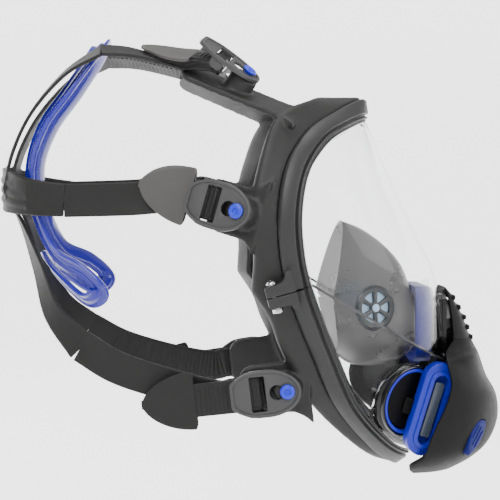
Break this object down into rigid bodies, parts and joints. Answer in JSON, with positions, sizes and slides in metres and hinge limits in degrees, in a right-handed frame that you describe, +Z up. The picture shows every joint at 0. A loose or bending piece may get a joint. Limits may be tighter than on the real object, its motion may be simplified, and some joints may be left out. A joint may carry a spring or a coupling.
{
  "type": "full-face respirator",
  "caption": "Full-face respirator: clear lens in a bolted frame, rubber seal, inner nose cup, slotted filter ports, release buttons and a buckled rubber head harness with a crown cradle.",
  "frame": {"origin": "centre of the face opening, where the wearer's face sits, on the mirror plane", "axes": "+X forward, the way the wearer looks; +Y to the wearer's left; +Z up"},
  "size_m": [0.3065, 0.1758, 0.2658],
  "materials": {
    "lens": "polished",
    "frame_plastic": "satin",
    "seal_rubber": "satin",
    "nose_cup_silicone": "satin",
    "collar_plastic": "satin",
    "adapter_plastic": "satin",
    "diaphragm_film": "satin",
    "cover_plastic": "fine texture",
    "strap_rubber": "matte",
    "tail_rubber": "matte",
    "cradle_plastic": "gloss",
    "screw_steel": "polished",
    "port_plastic": "gloss",
    "gasket_silicone": "satin",
    "valve_seat_plastic": "satin",
    "valve_film": "satin",
    "receptacle_plastic": "satin gloss",
    "flap_film": "translucent",
    "button_plastic": "satin",
    "stud_plastic": "satin gloss",
    "buckle_plastic": "fine texture"
  },
  "bodies": {
    "root": {"lens": "lens", "upper_frame": "frame_plastic", "lower_frame": "frame_plastic", "face_seal": "seal_rubber", "nose_cup": "nose_cup_silicone", "nose_cup_collar": "collar_plastic", "central_adapter": "adapter_plastic", "adapter_ring": "adapter_plastic", "speaking_diaphragm": "diaphragm_film", "diaphragm_ring": "adapter_plastic", "exhalation_valve": "nose_cup_silicone", "front_cover": "cover_plastic", "harness_yoke": "strap_rubber", "crown_cradle": "cradle_plastic", "frame_screw_right": "screw_steel", "frame_nut_right": "screw_steel", "port_drum_right": "port_plastic", "port_gasket_right": "gasket_silicone", "inhalation_valve_right": "valve_seat_plastic", "inhalation_flap_right": "valve_film", "receptacle_right": "receptacle_plastic", "button_spring_right": "screw_steel", "frame_screw_left": "screw_steel", "frame_nut_left": "screw_steel", "port_drum_left": "port_plastic", "port_gasket_left": "gasket_silicone", "inhalation_valve_left": "valve_seat_plastic", "inhalation_flap_left": "valve_film", "receptacle_left": "receptacle_plastic", "button_spring_left": "screw_steel", "strap_top_right": "strap_rubber", "stud_top_right": "stud_plastic", "strap_top_left": "strap_rubber", "stud_top_left": "stud_plastic", "strap_temple_right": "strap_rubber", "stud_temple_right": "stud_plastic", "strap_temple_left": "strap_rubber", "stud_temple_left": "stud_plastic", "strap_neck_right": "strap_rubber", "stud_neck_right": "stud_plastic", "strap_neck_left": "strap_rubber", "stud_neck_left": "stud_plastic"},
    "receptacle_flap_right": {"receptacle_flap_right": "flap_film"},
    "release_button_right": {"release_button_right": "button_plastic"},
    "receptacle_flap_left": {"receptacle_flap_left": "flap_film"},
    "release_button_left": {"release_button_left": "button_plastic"},
    "buckle_top_right": {"buckle_top_right": "buckle_plastic", "strap_tail_top_right": "tail_rubber"},
    "buckle_top_left": {"buckle_top_left": "buckle_plastic", "strap_tail_top_left": "tail_rubber"},
    "buckle_temple_right": {"buckle_temple_right": "buckle_plastic", "strap_tail_temple_right": "tail_rubber"},
    "buckle_temple_left": {"buckle_temple_left": "buckle_plastic", "strap_tail_temple_left": "tail_rubber"},
    "buckle_neck_right": {"buckle_neck_right": "buckle_plastic", "strap_tail_neck_right": "tail_rubber"},
    "buckle_neck_left": {"buckle_neck_left": "buckle_plastic", "strap_tail_neck_left": "tail_rubber"}
  },
  "joints": [
    {"name": "buckle_top_right_swivel", "type": "hinge", "parent": "root", "child": "buckle_top_right", "pos_m": [-0.03, -0.042, 0.12], "axis": [0.5481, -0.3495, 0.7599], "range_deg": [-4, 4]},
    {"name": "buckle_top_left_swivel", "type": "hinge", "parent": "root", "child": "buckle_top_left", "pos_m": [-0.03, 0.042, 0.12], "axis": [0.5481, 0.3495, 0.7599], "range_deg": [-4, 4]},
    {"name": "buckle_temple_right_swivel", "type": "hinge", "parent": "root", "child": "buckle_temple_right", "pos_m": [-0.04, -0.084, 0.04], "axis": [-0.4704, -0.8722, 0.1344], "range_deg": [-12, 12]},
    {"name": "buckle_temple_left_swivel", "type": "hinge", "parent": "root", "child": "buckle_temple_left", "pos_m": [-0.04, 0.084, 0.04], "axis": [-0.4704, 0.8722, 0.1344], "range_deg": [-12, 12]},
    {"name": "buckle_neck_right_swivel", "type": "hinge", "parent": "root", "child": "buckle_neck_right", "pos_m": [-0.01, -0.071, -0.064], "axis": [-0.1093, -0.9939, -0.0133], "range_deg": [-12, 12]},
    {"name": "buckle_neck_left_swivel", "type": "hinge", "parent": "root", "child": "buckle_neck_left", "pos_m": [-0.01, 0.071, -0.064], "axis": [-0.1093, 0.9939, -0.0133], "range_deg": [-12, 12]},
    {"name": "release_button_right_press", "type": "slide", "parent": "root", "child": "release_button_right", "axis": [-0.598, 0.7874, 0.1495], "range_m": [0, 0.0025], "stiffness_N_per_m": 600, "springref_m": -0.002},
    {"name": "release_button_left_press", "type": "slide", "parent": "root", "child": "release_button_left", "axis": [-0.598, -0.7874, 0.1495], "range_m": [0, 0.0025], "stiffness_N_per_m": 600, "springref_m": -0.002},
    {"name": "receptacle_flap_right_hinge", "type": "hinge", "parent": "root", "child": "receptacle_flap_right", "pos_m": [0.07537, -0.05276, -0.07856], "axis": [0.289, 0.0013, 0.9573], "range_deg": [0, 25], "stiffness_Nm_per_rad": 0.002, "springref_deg": -5.73},
    {"name": "receptacle_flap_left_hinge", "type": "hinge", "parent": "root", "child": "receptacle_flap_left", "pos_m": [0.07537, 0.05276, -0.07856], "axis": [-0.289, 0.0013, -0.9573], "range_deg": [0, 25], "stiffness_Nm_per_rad": 0.002, "springref_deg": -5.73}
  ]
}
